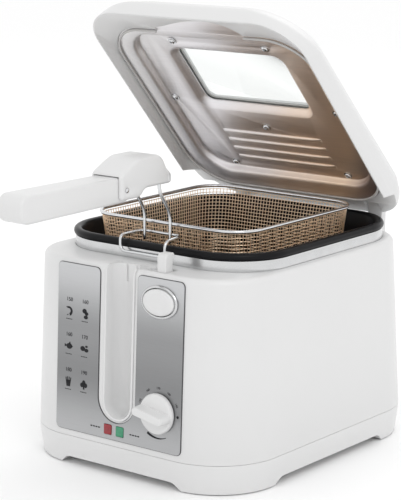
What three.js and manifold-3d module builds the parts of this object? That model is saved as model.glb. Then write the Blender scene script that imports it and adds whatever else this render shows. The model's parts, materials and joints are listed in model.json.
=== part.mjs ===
// Deep fryer with a hinged window lid, an enamelled oil pot and a lift-out basket.
// Millimetres, +Z up, front towards -Y. The design frame has its origin on the floor under the
// middle of the housing; the finished group is then centred over its own footprint.
import * as THREE from "three";
import { mergeVertices } from "three/addons/utils/BufferGeometryUtils.js";
import Module from "manifold-3d";

const wasm = await Module();
wasm.setup();

// ---- driving dimensions ----

const GAP = 0.3; // clearance between neighbouring pieces
const CORNER_STEPS = 5; // facets in each rounded corner of a lofted outline

// Housing and base: a rounded box that narrows upwards from the parting line.
const BODY = { w: 235, d: 280, r: 58, y: 0 };
const PARTING_Z = 26;
const SHELF_Z = 175;
const SIDE_TAPER = 0.044;
const FRONT_TAPER = 0.048;
const BACK_TAPER = 0.063;
const CORNER_TAPER = 0.055;
const WALL = 2.5;
const FOOT_ARCH = 6;
const FLOOR_TOP_Z = 8.5;

// Oil pot and the bright ring below its rolled rim.
const RING = { w: 210, d: 223.5, r: 50, y: 10.75 };
const RING_TOP_Z = 183.6;
const POT_BOTTOM_Z = 74;
const RIM_TOP_Z = 190;
const SHEET = 1.5;

// Handle channel down the middle of the front.
const CHANNEL_OUTER = 15.5;
const CHANNEL_INNER = 13.75;
const CHANNEL_LOW_Z = 47.6;
const CHANNEL_BACK_Y = -118.5;
const CHANNEL_LIP = 1.2; // how far its edge stands out of the front face

const AHEAD = -160; // cutting tools for the front start clear of it
const INSIDE = -100; // and end inside the housing

// Front panel and controls, as x and z on the front face.
const PANEL = { left: -66.2, right: 66.2, low: 31.5, high: 171.3, r: 4 };
const PANEL_GAP = { left: -21, right: 19, low: 45.6 };
const KNOB = { x: 43.5, z: 62.5, r: 16.5, shaft: 3, hole: 4.4, wing: 15.5, wingHalf: 4.6, angle: 170 };
const BUTTON = { x: 42, z: 152.5, rx: 15.9, ry: 10.8, ring: 2.6 };
const BUTTON_ROOM = 0.5;
const LAMPS = { power: -9.3, ready: 3.4, z: 39.4, w: 7.8, h: 8.2 };
const CATCH = { x: 38, w: 9, front: -128, back: -119, low: 165.5, top: 190, travel: 2 };

// Lid, drawn closed in a frame whose origin is on the hinge axis, then opened.
const HINGE = { y: 127, z: 200, post: 73, postWidth: 14, pinLength: 23, pin: 2 };
const LID_OPEN = THREE.MathUtils.degToRad(48);
const SKIRT_LOW = -25;
const LID = { w: 220, d: 257.8, r: 39.6, rBack: 42, y: -120.9 };
// Each level of the lid's outside: offset, height, how much rounder its front corners are, and
// from what distance and how steeply it drops towards the front.
const LID_LEVELS = [
  [0, SKIRT_LOW, 0, 0, 0], [0, -4, 11, 77, 0.0394], [-5.3, 3, 22.4, 77, 0.0525],
  [-7.6, 7.5, 22.4, 77, 0.0609], [-18, 9.6, 22.4, 200, 0.09], [-46, 10, 22.4, 0, 0],
];
const LINER = { w: 209, d: 205.3, r: 40, y: -119 };
const WINDOW = { w: 110, d: 66, r: 6, y: -148.6 };
const SKIRT_EDGE = 1.4;
const STEAM_ARCH = [ // x, and distance from the hinge axis, of the metal arch in the lid's rim
  [-46, 220], [-45, 225], [-25, 233], [-10, 239.5], [5, 244.5], [15, 246], [24, 246.3],
  [32, 245], [38, 241.5], [43, 234], [45, 226], [45.5, 220],
];
const ARCH_MIDDLE_X = 10;
const ARCH_TOP = -13.7;
const VENTS = { half: 38, at: [50, 58, 66, 74], slot: 1.5 };
const SHEET_METAL = 0.8;
const FILTER = { half: 48, low: 40, high: 84 };
const FILTER_COVER = { half: 56, low: 36, high: 92, r: 8 };
const SWING_ROOM = { half: 107.5, s: 34, low: -13.2 }; // for the pot's rim as the lid swings
const PLATE_LEVEL = -4;
const LOUVRES = [79.6, 68, 56.3, 44.7];
const LINER_SCREWS = [
  [-49, 196], [49, 196], [-86.5, 120.5], [86.5, 120.5], [0, 92], [-61, 36.5], [61, 36.5],
];

// Basket, hanging in its draining place, and its handle.
const BASKET = { w: 160, d: 166, r: 25, y: 4 };
const BASKET_RIM_Z = 203;
const BASKET_LOW_Z = 112;
const ARM_X = 13.5;
const ARM_R = 1.4;
const ARM_TOP_Y = -101;
const BRACKET_HALF = 16;
const PIVOT = { y: -143, z: 240.5, pin: 2 };
const GRIP = { length: 120, width: 25.5, height: 20.4 };

// ---- materials ----

function finish(color, roughness, metalness = 0) {
  return new THREE.MeshStandardMaterial({ color, roughness, metalness });
}
const whitePlastic = finish(0xf1f2f3, 0.35);
const brushedSilver = finish(0xb9bbbe, 0.4, 0.9);
const steel = finish(0xc8cacd, 0.25, 1);
const enamel = finish(0x141416, 0.3);
const linerMetal = finish(0xb5aca5, 0.35, 0.9);
const rubber = finish(0x2a2a2c, 0.8);
const blackPlastic = finish(0x1d1d1f, 0.5);
const silicone = finish(0xc9c7c2, 0.6);
const glass = finish(0xe8f1f2, 0.05);
const ceramic = finish(0xe6e1d4, 0.6);
const redLens = finish(0xb3131a, 0.2);
const greenLens = finish(0x1f9a4a, 0.2);
const felt = finish(0x3a3c3f, 0.95);

// ---- solids ----

// A closed geometry as a solid that can be joined and cut.
function solid(geometry) {
  const bare = new THREE.BufferGeometry();
  bare.setAttribute("position", geometry.getAttribute("position"));
  bare.setIndex(geometry.index);
  const merged = mergeVertices(bare, 1e-4);
  return new wasm.Manifold(
    new wasm.Mesh({
      numProp: 3,
      vertProperties: new Float32Array(merged.attributes.position.array),
      triVerts: new Uint32Array(merged.index.array),
    }),
  );
}

function geometryOf(made) {
  const mesh = made.getMesh();
  const geometry = new THREE.BufferGeometry();
  geometry.setAttribute("position", new THREE.BufferAttribute(mesh.vertProperties, 3));
  geometry.setIndex(new THREE.BufferAttribute(mesh.triVerts, 1));
  return geometry;
}

function join(...solids) {
  return solids.reduce((all, next) => all.add(next));
}

function cut(body, ...tools) {
  return tools.reduce((left, tool) => left.subtract(tool), body);
}

// The points of a rounded rectangle, counter-clockwise seen from above. Its back corners may
// have a radius of their own.
function loop({ w, d, r: rFront, rBack = rFront, y }, z) {
  const points = [];
  const centres = [[1, -1], [1, 1], [-1, 1], [-1, -1]];
  centres.forEach(([sx, sy], corner) => {
    const r = sy > 0 ? rBack : rFront;
    for (let i = 0; i <= CORNER_STEPS; i++) {
      const angle = (corner - 1 + i / CORNER_STEPS) * (Math.PI / 2);
      const px = sx * (w / 2 - r) + r * Math.cos(angle);
      const py = y + sy * (d / 2 - r) + r * Math.sin(angle);
      points.push(new THREE.Vector3(px, py, z));
    }
  });
  return points;
}

function grown(outline, offset) {
  const { w, d, r, rBack = r, y } = outline;
  const radii = { r: Math.max(r + offset, 0.5), rBack: Math.max(rBack + offset, 0.5) };
  return { w: w + 2 * offset, d: d + 2 * offset, y, ...radii };
}

// A skin through loops of points, capped at both ends or closed on itself as a ring.
function skin(loops, ring = false) {
  const count = loops[0].length;
  const positions = loops.flat().flatMap((p) => p.toArray());
  const index = [];
  const bands = ring ? loops.length : loops.length - 1;
  for (let j = 0; j < bands; j++) {
    const low = j * count;
    const high = ((j + 1) % loops.length) * count;
    for (let i = 0; i < count; i++) {
      const next = (i + 1) % count;
      index.push(low + i, low + next, high + next, low + i, high + next, high + i);
    }
  }
  if (!ring) {
    [0, loops.length - 1].forEach((j) => {
      const middle = new THREE.Vector3();
      loops[j].forEach((p) => middle.addScaledVector(p, 1 / count));
      const centre = positions.length / 3;
      positions.push(...middle.toArray());
      for (let i = 0; i < count; i++) {
        const a = j * count + i;
        const b = j * count + ((i + 1) % count);
        index.push(centre, j ? a : b, j ? b : a);
      }
    });
  }
  const geometry = new THREE.BufferGeometry();
  geometry.setAttribute("position", new THREE.Float32BufferAttribute(positions, 3));
  geometry.setIndex(index);
  return solid(geometry);
}

// Profile points are [offset from the outline, height], listed upwards on the outside.
function loft(outline, profile) {
  return skin(profile.map(([offset, z]) => loop(grown(outline, offset), z)));
}

function hoop(outline, profile) {
  return skin(profile.map(([offset, z]) => loop(grown(outline, offset), z)), true);
}

function roundHoop(outline, radius, z, sides = 8) {
  const profile = Array.from({ length: sides }, (_, i) => {
    const angle = (i / sides) * 2 * Math.PI;
    return [radius * Math.cos(angle), z + radius * Math.sin(angle)];
  });
  return hoop(outline, profile);
}

function extruded(shape, depth, curveSegments = 12) {
  return new THREE.ExtrudeGeometry(shape, { depth, bevelEnabled: false, curveSegments });
}

function upright(shape, low, high, curveSegments) {
  return solid(extruded(shape, high - low, curveSegments).translate(0, 0, low));
}

// A shape drawn in x and z, running from one y to the next.
function alongY(shape, near, far, curveSegments) {
  return solid(extruded(shape, far - near, curveSegments).rotateX(Math.PI / 2).translate(0, far, 0));
}

const SIDEWAYS = new THREE.Matrix4().makeBasis(
  new THREE.Vector3(0, 1, 0),
  new THREE.Vector3(0, 0, 1),
  new THREE.Vector3(1, 0, 0),
);

// A shape drawn in y and z, running from one x to the next.
function alongX(shape, left, right, curveSegments) {
  const geometry = extruded(shape, right - left, curveSegments).applyMatrix4(SIDEWAYS);
  return solid(geometry.translate(left, 0, 0));
}

function box(left, right, front, back, low, high) {
  const geometry = new THREE.BoxGeometry(right - left, back - front, high - low);
  geometry.translate((left + right) / 2, (front + back) / 2, (low + high) / 2);
  return solid(geometry);
}

function disc(x, y, radius, low, high, sides = 24) {
  const geometry = new THREE.CylinderGeometry(radius, radius, high - low, sides);
  return solid(geometry.rotateX(Math.PI / 2).translate(x, y, (low + high) / 2));
}

function rodX(left, right, y, z, radius, sides = 14) {
  const geometry = new THREE.CylinderGeometry(radius, radius, right - left, sides);
  return solid(geometry.rotateZ(Math.PI / 2).translate((left + right) / 2, y, z));
}

function polygon(points) {
  return new THREE.Shape(points.map(([u, v]) => new THREE.Vector2(u, v)));
}

function ellipse(x, y, rx, ry) {
  return new THREE.Shape().absellipse(x, y, rx, ry, 0, 2 * Math.PI);
}

function roundedBox(left, right, low, high, r) {
  const shape = new THREE.Shape();
  shape.absarc(right - r, low + r, r, -Math.PI / 2, 0);
  shape.absarc(right - r, high - r, r, 0, Math.PI / 2);
  shape.absarc(left + r, high - r, r, Math.PI / 2, Math.PI);
  shape.absarc(left + r, low + r, r, Math.PI, 1.5 * Math.PI);
  return shape;
}

// A round wire through corner points, each corner rounded off.
function wire(points, radius, bend, steps, sides = 8) {
  const corners = points.map((p) => new THREE.Vector3(...p));
  const path = new THREE.CurvePath();
  let from = corners[0];
  for (let i = 1; i < corners.length - 1; i++) {
    const corner = corners[i];
    const before = corner.clone().lerp(from, Math.min(bend / corner.distanceTo(from), 0.9));
    const after = corner.clone().lerp(corners[i + 1], bend / corner.distanceTo(corners[i + 1]));
    path.add(new THREE.LineCurve3(from, before));
    path.add(new THREE.QuadraticBezierCurve3(before, corner, after));
    from = after;
  }
  path.add(new THREE.LineCurve3(from, corners[corners.length - 1]));
  return sweep(path, radius, steps, sides);
}

function sweep(path, radius, steps, sides = 8) {
  const section = Array.from({ length: sides }, (_, i) => {
    const angle = (i / sides) * 2 * Math.PI;
    return [radius * Math.cos(angle), radius * Math.sin(angle)];
  });
  const options = { steps, bevelEnabled: false, extrudePath: path };
  return solid(new THREE.ExtrudeGeometry(polygon(section), options));
}

// ---- groups ----

const fryer = new THREE.Group();

const lid = new THREE.Group();
lid.position.set(0, HINGE.y, HINGE.z);
lid.rotation.x = -LID_OPEN;
fryer.add(lid);

const grip = new THREE.Group();
grip.position.set(0, PIVOT.y, PIVOT.z);
fryer.add(grip);

function frontFaceY(z) {
  return -BODY.d / 2 + FRONT_TAPER * (z - PARTING_Z);
}

// A frame on the sloping front face: local z points out of the face, local x to the right.
const FACE_TILT = Math.PI / 2 - Math.atan(FRONT_TAPER);
function facePlace(x, z) {
  const group = new THREE.Group();
  group.position.set(x, frontFaceY(z), z);
  group.rotation.x = FACE_TILT;
  fryer.add(group);
  return group;
}

function faceTool(tool, x, z) {
  return tool.rotate([THREE.MathUtils.radToDeg(FACE_TILT), 0, 0]).translate([x, frontFaceY(z), z]);
}

function place(name, made, material, parent = fryer) {
  const mesh = new THREE.Mesh(geometryOf(made), material);
  mesh.name = name;
  parent.add(mesh);
  return mesh;
}

// ---- base ----

function bodyOutline(z, offset = 0) {
  const rise = z - PARTING_Z;
  const front = FRONT_TAPER * rise;
  const back = BACK_TAPER * rise;
  return grown(
    {
      w: BODY.w - 2 * SIDE_TAPER * rise,
      d: BODY.d - front - back,
      r: BODY.r - CORNER_TAPER * rise,
      y: (front - back) / 2,
    },
    offset,
  );
}

function bodyLoft(profile) {
  return skin(profile.map(([offset, z]) => loop(bodyOutline(z, offset), z)));
}

const FOOT_CENTRES = [[-82, -104], [82, -104], [-82, 104], [82, 104]];
const BASE_SCREWS = [[-40, -118], [40, -118], [-40, 118], [40, 118]];
const PAD_R = 9;
const FEET_LOW_Z = 1;

function footArch(halfSpan) {
  const slope = 4;
  const top = FOOT_ARCH + FEET_LOW_Z;
  return polygon([[-halfSpan, -1], [halfSpan, -1], [halfSpan - slope, top], [slope - halfSpan, top]]);
}

function makeBase() {
  const outer = loft(BODY, [[-3.3, FEET_LOW_Z], [-0.9, 16], [0, 22], [0, PARTING_Z - GAP]]);
  const hollow = loft(BODY, [[-4, FLOOR_TOP_Z + FEET_LOW_Z], [-WALL, 20], [-WALL, PARTING_Z + 1]]);
  const frontArch = alongY(footArch(62), -150, 150);
  const sideArch = alongX(footArch(76), -130, 130);
  const screwHoles = BASE_SCREWS.map(([x, y]) => disc(x, y, 2, 0, 12, 12));
  const pads = FOOT_CENTRES.map(([x, y]) => disc(x, y, PAD_R + GAP, 0, FEET_LOW_Z + 2));
  place("base_tray", cut(outer, hollow, frontArch, sideArch, ...screwHoles, ...pads), whitePlastic);
  FOOT_CENTRES.forEach(([x, y], i) => {
    place(`foot_pad_${i + 1}`, disc(x, y, PAD_R, 0, FEET_LOW_Z + 2 - GAP), rubber);
  });
}

function makeScrew(name, x, y, under, length, parent, material = steel) {
  const head = disc(x, y, 3, under - 1.8, under, 10);
  const shank = disc(x, y, 1.5, under - 0.2, under + length, 7);
  place(name, join(head, shank), material, parent);
}

// ---- housing ----

const INLET = { x: 62, z: 48, w: 30, h: 22, depth: 24, wall: 3, floor: 4 };

function channelShape(half) {
  const shape = new THREE.Shape();
  const centre = CHANNEL_LOW_Z + CHANNEL_OUTER;
  shape.absarc(0, centre, half, Math.PI, 2 * Math.PI);
  shape.lineTo(half, SHELF_Z + 20);
  shape.lineTo(-half, SHELF_Z + 20);
  return shape;
}

function hingePost(side) {
  const left = side * HINGE.post - HINGE.postWidth / 2;
  const right = left + HINGE.postWidth;
  const post = box(left, right, HINGE.y - 2.8, HINGE.y + 3.4, SHELF_Z - 6, HINGE.z - 2);
  const knuckle = rodX(left, right, HINGE.y, HINGE.z, 5.4);
  const web = box(left, right, HINGE.y - 1, HINGE.y + 4.4, HINGE.z - 8, HINGE.z);
  const hole = rodX(left - 1, right + 1, HINGE.y, HINGE.z, HINGE.pin + GAP);
  return cut(join(post, knuckle, web), hole);
}

function makeHousing() {
  const outer = bodyLoft([
    [0, PARTING_Z], [0, 168], [-0.8, 172], [-2, 174.2], [-3.5, SHELF_Z],
  ]);
  const hollow = bodyLoft([[-WALL, PARTING_Z - 1], [-WALL, 168], [-4, SHELF_Z - WALL]]);
  const potHole = loft(RING, [[GAP, SHELF_Z - 10], [GAP, SHELF_Z + 5]]);
  const channel = alongY(channelShape(CHANNEL_OUTER + GAP), AHEAD, CHANNEL_BACK_Y + WALL + GAP);
  const catchLeft = CATCH.x - CATCH.w / 2 - 0.6;
  const catchRight = CATCH.x + CATCH.w / 2 + 0.6;
  const catchBack = CATCH.back + CATCH.travel + 4;
  const slot = box(catchLeft, catchRight, CATCH.front - 0.6, catchBack, SHELF_Z - 6, SHELF_Z + 6);
  const ramp = polygon([[catchLeft - 15, -122], [catchLeft + 1, -127.5], [catchLeft + 1, catchBack]]);
  const fingerPocket = upright(ramp, SHELF_Z - 1.4, SHELF_Z + 5);
  const inletHole = box(
    INLET.x - INLET.w / 2 - GAP,
    INLET.x + INLET.w / 2 + GAP,
    120,
    150,
    INLET.z - INLET.h / 2 - GAP,
    INLET.z + INLET.h / 2 + GAP,
  );
  const shell = cut(
    outer, hollow, potHole, channel, ...controlHoles(), slot, fingerPocket, inletHole,
  );
  place("housing_shell", join(shell, hingePost(-1), hingePost(1)), whitePlastic);
}

function makeChannel() {
  const back = CHANNEL_BACK_Y;
  const outer = alongY(channelShape(CHANNEL_OUTER), AHEAD, back + WALL);
  // Each step is [narrower by, shallower by], which rounds the trough's bottom.
  const steps = [[0, 8], [1, 4.5], [3, 1.8], [6, 0]];
  const inner = join(
    ...steps.map(([narrow, rise]) => alongY(channelShape(CHANNEL_INNER - narrow), AHEAD - 1, back - rise)),
  );
  const envelope = bodyLoft([
    [CHANNEL_LIP, PARTING_Z], [CHANNEL_LIP, 168], [0.4, 172.6], [-2.4, SHELF_Z - 0.2],
  ]);
  const notches = [-5, 5].map((x) => box(x - 0.8, x + 0.8, back - 1, back + 1.2, 160, 180));
  place("handle_channel", cut(outer.intersect(envelope), inner, ...notches), whitePlastic);
}

// Holes through the front for the dial's shaft, the button and the two lamps.
function controlHoles() {
  const halfW = LAMPS.w / 2 + GAP;
  const halfH = LAMPS.h / 2 + GAP;
  const lamp = roundedBox(-halfW, halfW, -halfH, halfH, 1);
  return [
    faceTool(disc(0, 0, KNOB.hole, -20, 5), KNOB.x, KNOB.z),
    faceTool(upright(buttonShape(BUTTON_ROOM), -12, 8, 10), BUTTON.x, BUTTON.z),
    faceTool(upright(lamp, -8, 5, 3), LAMPS.power, LAMPS.z),
    faceTool(upright(lamp, -8, 5, 3), LAMPS.ready, LAMPS.z),
  ];
}

function buttonShape(room = 0) {
  return ellipse(0, 0, BUTTON.rx + room, BUTTON.ry + room);
}

function makePanel() {
  const { left, right, low, high, r } = PANEL;
  const sheet = alongY(roundedBox(left, right, low, high, r), AHEAD, INSIDE, 5);
  const gapShape = new THREE.Shape();
  const half = (PANEL_GAP.right - PANEL_GAP.left) / 2;
  const middle = (PANEL_GAP.right + PANEL_GAP.left) / 2;
  gapShape.absarc(middle, PANEL_GAP.low + half, half, Math.PI, 2 * Math.PI);
  gapShape.absarc(PANEL_GAP.right + r, high - r, r, Math.PI, Math.PI / 2, true);
  gapShape.lineTo(PANEL_GAP.right + r, high + 5);
  gapShape.lineTo(PANEL_GAP.left - r, high + 5);
  gapShape.absarc(PANEL_GAP.left - r, high - r, r, Math.PI / 2, 0, true);
  const outside = bodyLoft([[1, PARTING_Z], [1, SHELF_Z]]);
  const inside = bodyLoft([[GAP, PARTING_Z - 1], [GAP, SHELF_Z + 1]]);
  const frontSheet = sheet.intersect(cut(outside, inside));
  const made = cut(frontSheet, alongY(gapShape, AHEAD, INSIDE), ...controlHoles());
  place("control_panel", made, brushedSilver);
}

// ---- pot and heating ----

function makePot() {
  const ring = hoop(RING, [
    [0, SHELF_Z - 8], [0, RING_TOP_Z], [-4.8, RING_TOP_Z], [-4.8, RING_TOP_Z - 1],
    [-1.2, RING_TOP_Z - 1], [-1.2, SHELF_Z - 8],
  ]);
  place("trim_ring", ring, steel);
  const low = RING_TOP_Z + GAP;
  const outer = loft(RING, [
    [-33, POT_BOTTOM_Z - SHEET], [-21, POT_BOTTOM_Z + 2], [-10.5, POT_BOTTOM_Z + 14],
    [-6, SHELF_Z], [-5.6, low], [0.6, low], [1.2, 186.5], [0, 189], [-2.5, RIM_TOP_Z],
  ]);
  const inner = loft(RING, [
    [-34, POT_BOTTOM_Z], [-22.5, POT_BOTTOM_Z + 3.5], [-12, POT_BOTTOM_Z + 15],
    [-7.5, SHELF_Z], [-6.8, 187], [-5.4, 189.2], [-4.4, RIM_TOP_Z + 1],
  ]);
  place("oil_pot", cut(outer, inner), enamel);
}

const ELEMENT = { r: 58, wire: 4, below: 10, start: 105, sweep: 330 };
const HEAT_PLATE = { r: 68, thick: 3 };
const BULB = { half: 30, r: 3, y: RING.y - 30 };
const CUTOUT_R = 9;

class ElementPath extends THREE.Curve {
  getPoint(t, target = new THREE.Vector3()) {
    const angle = THREE.MathUtils.degToRad(ELEMENT.start + ELEMENT.sweep * t);
    const x = ELEMENT.r * Math.cos(angle);
    return target.set(x, RING.y + ELEMENT.r * Math.sin(angle), POT_BOTTOM_Z - ELEMENT.below);
  }
}

function makeHeating() {
  const top = POT_BOTTOM_Z - SHEET - GAP;
  const under = top - HEAT_PLATE.thick;
  place("heat_plate", disc(0, RING.y, HEAT_PLATE.r, under, top, 36), brushedSilver);
  place("heating_element", sweep(new ElementPath(), ELEMENT.wire, 36), steel);
  place("thermal_cutout", disc(0, RING.y, CUTOUT_R, under - 9, under - GAP, 18), ceramic);
  const bulbZ = under - GAP - BULB.r;
  place("sensor_bulb", rodX(-BULB.half, BULB.half, BULB.y, bulbZ, BULB.r, 12), steel);
  const bend = [BULB.half + 6, BULB.y, bulbZ];
  const route = [[BULB.half + 0.6, BULB.y, bulbZ], bend, [38, -26, 54], [42, -96, 54]];
  place("sensor_capillary", wire(route, 0.8, 5, 14, 6), steel);
  place("thermostat", faceTool(box(-15, 15, -14, 13, -34, -14), KNOB.x, KNOB.z), ceramic);
  place("terminal_block", box(-24, 8, 92, 106, 16, 34), ceramic);
}

function makeInlet() {
  const { x, z, w, h, depth, wall, floor } = INLET;
  const face = BODY.d / 2 - BACK_TAPER * (z - PARTING_Z);
  const block = alongY(roundedBox(x - w / 2, x + w / 2, z - h / 2, z + h / 2, 3), face - depth, face, 3);
  const socket = alongY(
    roundedBox(x - w / 2 + wall, x + w / 2 - wall, z - h / 2 + wall, z + h / 2 - wall, 4),
    face - depth + floor,
    face + 1,
    3,
  );
  place("power_inlet", cut(block, socket), blackPlastic);
  const pins = { line: [-6.5, -2], neutral: [6.5, -2], earth: [0, 3] };
  for (const [name, [dx, dz]] of Object.entries(pins)) {
    const root = face - depth + floor + GAP;
    const pin = box(x + dx - 1, x + dx + 1, root, face - 5, z + dz - 2, z + dz + 2);
    place(`inlet_pin_${name}`, pin, steel);
  }
}

// ---- controls ----

function makeControls() {
  const lampShape = roundedBox(-LAMPS.w / 2, LAMPS.w / 2, -LAMPS.h / 2, LAMPS.h / 2, 1);
  place("power_lamp", upright(lampShape, -6, 1.9, 3), redLens, facePlace(LAMPS.power, LAMPS.z));
  place("ready_lamp", upright(lampShape, -6, 1.9, 3), greenLens, facePlace(LAMPS.ready, LAMPS.z));
  const board = box(-13, 13, -6, 6, -9.5, -6.5);
  const middle = (LAMPS.power + LAMPS.ready) / 2;
  place("lamp_board", board, blackPlastic, facePlace(middle, LAMPS.z));

  const knobPlace = facePlace(KNOB.x, KNOB.z);
  const skirt = solid(
    new THREE.LatheGeometry(
      [[0, 1.5], [KNOB.r, 1.5], [KNOB.r, 4], [KNOB.r - 1.5, 6], [0, 6]].map(
        ([u, v]) => new THREE.Vector2(u, v),
      ),
      36,
    ).rotateX(Math.PI / 2),
  );
  const wingShape = roundedBox(-KNOB.wing, KNOB.wing, -KNOB.wingHalf, KNOB.wingHalf, 4);
  const wing = upright(wingShape, 5.5, 17, 5).rotate([0, 0, KNOB.angle]);
  const shaft = disc(0, 0, KNOB.shaft, -13, 2, 16);
  place("thermostat_knob", join(skirt, wing, shaft), whitePlastic, knobPlace);

  const buttonPlace = facePlace(BUTTON.x, BUTTON.z);
  const bezelHole = upright(buttonShape(BUTTON_ROOM), 0, 5, 10);
  const bezel = cut(upright(buttonShape(BUTTON.ring), 1 + GAP, 3.2, 12), bezelHole);
  place("button_bezel", bezel, brushedSilver, buttonPlace);
  const cap = upright(buttonShape(), -4, 4.4, 10);
  const stem = disc(0, 0, 2.5, -10, -3, 12);
  place("release_button", join(cap, stem), whitePlastic, buttonPlace);
  const guide = cut(box(-9, 9, -6, 6, -16, -8), disc(0, 0, 3, -17, -7, 12));
  place("button_guide", guide, whitePlastic, buttonPlace);
  const hook = polygon([
    [CATCH.front, CATCH.low], [CATCH.back, CATCH.low], [CATCH.back, CATCH.top - 6],
    [CATCH.back + 3, CATCH.top - 4], [CATCH.back + 1, CATCH.top], [CATCH.front + 2, CATCH.top],
    [CATCH.front, CATCH.top - 3],
  ]);
  place("lid_catch", alongX(hook, CATCH.x - CATCH.w / 2, CATCH.x + CATCH.w / 2), whitePlastic);
}

// ---- lid ----

function lidOutside() {
  return skin(LID_LEVELS.map(([offset, z, ease, start, slope]) => {
    const points = loop({ ...grown(LID, offset), r: LID.r + offset + ease }, z);
    points.forEach((p) => {
      p.z -= slope * Math.max(-p.y - start, 0);
    });
    return points;
  }));
}

// The arch drawn in by an inset, and cut off where it comes nearer to the hinge than a distance.
function archOutline(inset = 0, nearest = 0) {
  return polygon(STEAM_ARCH.map(([x, s]) => {
    return [x - Math.sign(x - ARCH_MIDDLE_X) * inset, -Math.max(s - inset, nearest)];
  }));
}

function lidShell() {
  const underside = skin([
    loop(grown(LID, -SKIRT_EDGE), SKIRT_LOW - 0.2),
    loop(grown(LINER, 0.4), -15.2),
    loop(grown(LINER, 0.4), -12.4),
  ]);
  const hollow = loft(LINER, [[-3, -13], [-4, -8], [-10, -1], [-16, 4], [-22, 7.2]]);
  const arch = upright(archOutline(), SKIRT_LOW - 5, ARCH_TOP);
  const rearCut = box(-120, 120, -14, 20, SKIRT_LOW - 5, -8);
  const { half: roomHalf, s: roomEnd, low: roomTop } = SWING_ROOM;
  const rimRoom = box(-roomHalf, roomHalf, -roomEnd, 20, SKIRT_LOW - 5, roomTop);
  const notches = [-1, 1].map((side) => {
    const middle = side * HINGE.post;
    const half = HINGE.postWidth / 2 + 0.5;
    return box(middle - half, middle + half, -7.2, 20, SKIRT_LOW - 5, 6.9);
  });
  const pinHoles = [-1, 1].map((side) => {
    const middle = side * HINGE.post;
    const half = HINGE.pinLength / 2 + GAP;
    return rodX(middle - half, middle + half, 0, 0, HINGE.pin + GAP);
  });
  const opening = loft(WINDOW, [[0.4, 0], [0.4, 20]]);
  return cut(
    lidOutside(), underside, hollow, arch, rearCut, rimRoom, ...notches, ...pinHoles, opening, ...ventSlots(),
  );
}

function ventSlots() {
  const { half, at, slot } = VENTS;
  return at.map((s) => box(-half, half, -s - slot, -s + slot, 0, 20));
}

function linerPlate() {
  const collar = grown(WINDOW, 6);
  const frontEdge = LINER.d / 2 - LINER.y - 0.45;
  const top = join(
    loft(LINER, [[0, -14.8], [0, -14], [-12.5, -9.3], [-13.5, PLATE_LEVEL + SHEET_METAL]]),
    loft(WINDOW, [[6 + SHEET_METAL, PLATE_LEVEL], [0.5 + SHEET_METAL, 2]]),
    upright(archOutline(0.4, frontEdge), ARCH_TOP - GAP - SHEET_METAL, ARCH_TOP - GAP),
  );
  const pan = loft(LINER, [[-0.6, -15], [-13, -10.1], [-14.4, PLATE_LEVEL]]);
  const recess = skin([
    loop(collar, PLATE_LEVEL - 0.5),
    loop(grown(WINDOW, 0.5), 2 - SHEET_METAL),
  ]);
  const through = loft(WINDOW, [[-0.8, -10], [-0.8, 10]]);
  const slots = LOUVRES.map((s) => {
    const shape = roundedBox(-52, 52, -s - 1.8, -s + 1.8, 1.7);
    return upright(shape, PLATE_LEVEL - 2, PLATE_LEVEL + 2, 3);
  });
  const holes = LINER_SCREWS.map(([x, s]) => disc(x, -s, 1.5 + GAP, -14, 2, 12));
  return cut(top, pan, recess, through, ...slots, ...holes);
}

function makeLid() {
  place("lid_shell", lidShell(), whitePlastic, lid);
  place("lid_liner", linerPlate(), linerMetal, lid);
  const bead = roundHoop(grown(LINER, -1.8), 1.1, -15.9);
  place("lid_seal", bead, silicone, lid);
  place("window_glass", loft(WINDOW, [[3.5, 2.3], [3.5, 5.3]]), glass, lid);
  const frame = hoop(WINDOW, [[3.5, 5.6], [3.5, 6.9], [0.6, 6.9], [0.6, 5.6]]);
  place("window_seal", frame, silicone, lid);
  LINER_SCREWS.forEach(([x, s], i) => {
    makeScrew(`liner_screw_${i + 1}`, x, -s, PLATE_LEVEL - GAP, 6, lid);
  });
  const pad = box(-FILTER.half, FILTER.half, -FILTER.high, -FILTER.low, PLATE_LEVEL + 1.4, 5.5);
  place("oil_filter", pad, felt, lid);
  const { half: coverHalf, low, high, r } = FILTER_COVER;
  const cover = upright(roundedBox(-coverHalf, coverHalf, -high, -low, r), 10 + GAP, 12.6, 5);
  place("filter_cover", cut(cover, ...ventSlots()), whitePlastic, lid);
  [-1, 1].forEach((side, i) => {
    const middle = side * HINGE.post;
    const half = HINGE.pinLength / 2;
    const pin = rodX(middle - half, middle + half, HINGE.y, HINGE.z, HINGE.pin);
    place(`hinge_pin_${i + 1}`, pin, steel);
  });
}

// ---- basket ----

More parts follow.
